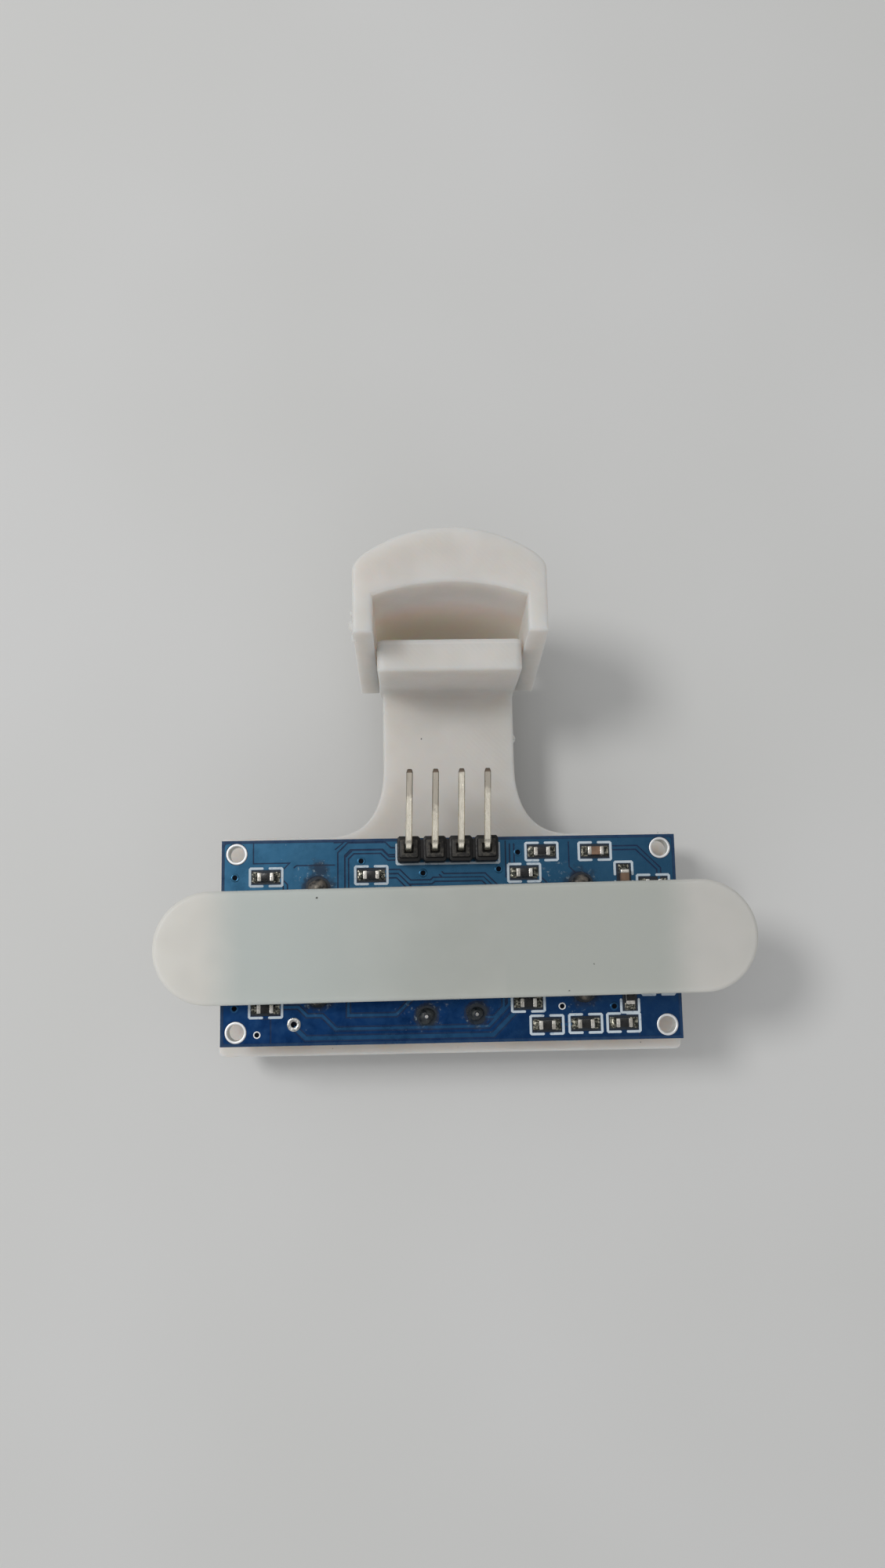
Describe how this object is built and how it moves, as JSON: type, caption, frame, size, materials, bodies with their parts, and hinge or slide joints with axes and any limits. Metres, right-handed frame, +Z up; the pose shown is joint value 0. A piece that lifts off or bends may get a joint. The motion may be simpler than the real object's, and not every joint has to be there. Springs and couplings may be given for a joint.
{
  "type": "ultrasonic distance sensor",
  "caption": "Ultrasonic distance sensor: two transducer cans on a small circuit board with a pin header, held in a printed clip bracket with a loose retaining bar across its back.",
  "frame": {"origin": "centre of the bottom of the whole part's bounding box, on the surface that the two transducer cans stand on", "axes": "+X along the board and the retaining bar, +Y from the board towards the clip collar, +Z up, out of the board's component side"},
  "size_m": [0.058, 0.05, 0.0236],
  "materials": {
    "printed_plastic": "3-D printed white plastic, fine layer lines, slightly translucent",
    "bar_plastic": "milky translucent white plastic, satin",
    "solder_mask": "blue solder mask over copper traces, white silkscreen outlines",
    "header_plastic": "black moulded plastic",
    "tinned_metal": "tin plated, slightly warm, worn",
    "can_aluminium": "drawn aluminium, satin",
    "grille_steel": "woven wire mesh",
    "horn_aluminium": "spun aluminium",
    "piezo_brass": "brass disc with ceramic face",
    "base_resin": "dark potting resin",
    "crystal_steel": "nickel plated steel can",
    "chip_epoxy": "black moulded epoxy with tinned leads",
    "resistor_ceramic": "black glazed top with tinned ends",
    "capacitor_ceramic": "brown ceramic with tinned ends"
  },
  "bodies": {
    "bracket": {"bracket": "printed_plastic", "collar": "printed_plastic"},
    "sensor_board": {"circuit_board": "solder_mask", "header_body": "header_plastic", "header_pin_1": "tinned_metal", "header_pin_2": "tinned_metal", "header_pin_3": "tinned_metal", "header_pin_4": "tinned_metal", "transmitter_can": "can_aluminium", "transmitter_grille": "grille_steel", "transmitter_horn": "horn_aluminium", "transmitter_piezo_disc": "piezo_brass", "transmitter_base": "base_resin", "transmitter_lead_1": "tinned_metal", "transmitter_lead_2": "tinned_metal", "receiver_can": "can_aluminium", "receiver_grille": "grille_steel", "receiver_horn": "horn_aluminium", "receiver_piezo_disc": "piezo_brass", "receiver_base": "base_resin", "receiver_lead_1": "tinned_metal", "receiver_lead_2": "tinned_metal", "crystal_can": "crystal_steel", "crystal_lead_1": "tinned_metal", "crystal_lead_2": "tinned_metal", "driver_chip": "chip_epoxy", "controller_chip": "chip_epoxy", "amplifier_chip": "chip_epoxy", "resistor_1": "resistor_ceramic", "resistor_2": "resistor_ceramic", "resistor_3": "resistor_ceramic", "resistor_4": "resistor_ceramic", "resistor_5": "resistor_ceramic", "resistor_6": "resistor_ceramic", "resistor_7": "resistor_ceramic", "resistor_8": "resistor_ceramic", "resistor_9": "resistor_ceramic", "resistor_10": "resistor_ceramic", "resistor_11": "resistor_ceramic", "resistor_12": "resistor_ceramic", "resistor_13": "resistor_ceramic", "resistor_14": "resistor_ceramic", "resistor_15": "resistor_ceramic", "resistor_16": "resistor_ceramic", "resistor_17": "resistor_ceramic", "capacitor_1": "capacitor_ceramic", "capacitor_2": "capacitor_ceramic", "capacitor_3": "capacitor_ceramic", "capacitor_4": "capacitor_ceramic"},
    "retaining_bar": {"retaining_bar": "bar_plastic"}
  },
  "joints": [
    {"name": "board_lift", "type": "slide", "parent": "bracket", "child": "sensor_board", "axis": [0, 0, 1], "range_m": [0, 0.012]},
    {"name": "bar_lift", "type": "slide", "parent": "sensor_board", "child": "retaining_bar", "axis": [0, 0, 1], "range_m": [0, 0.012]}
  ]
}
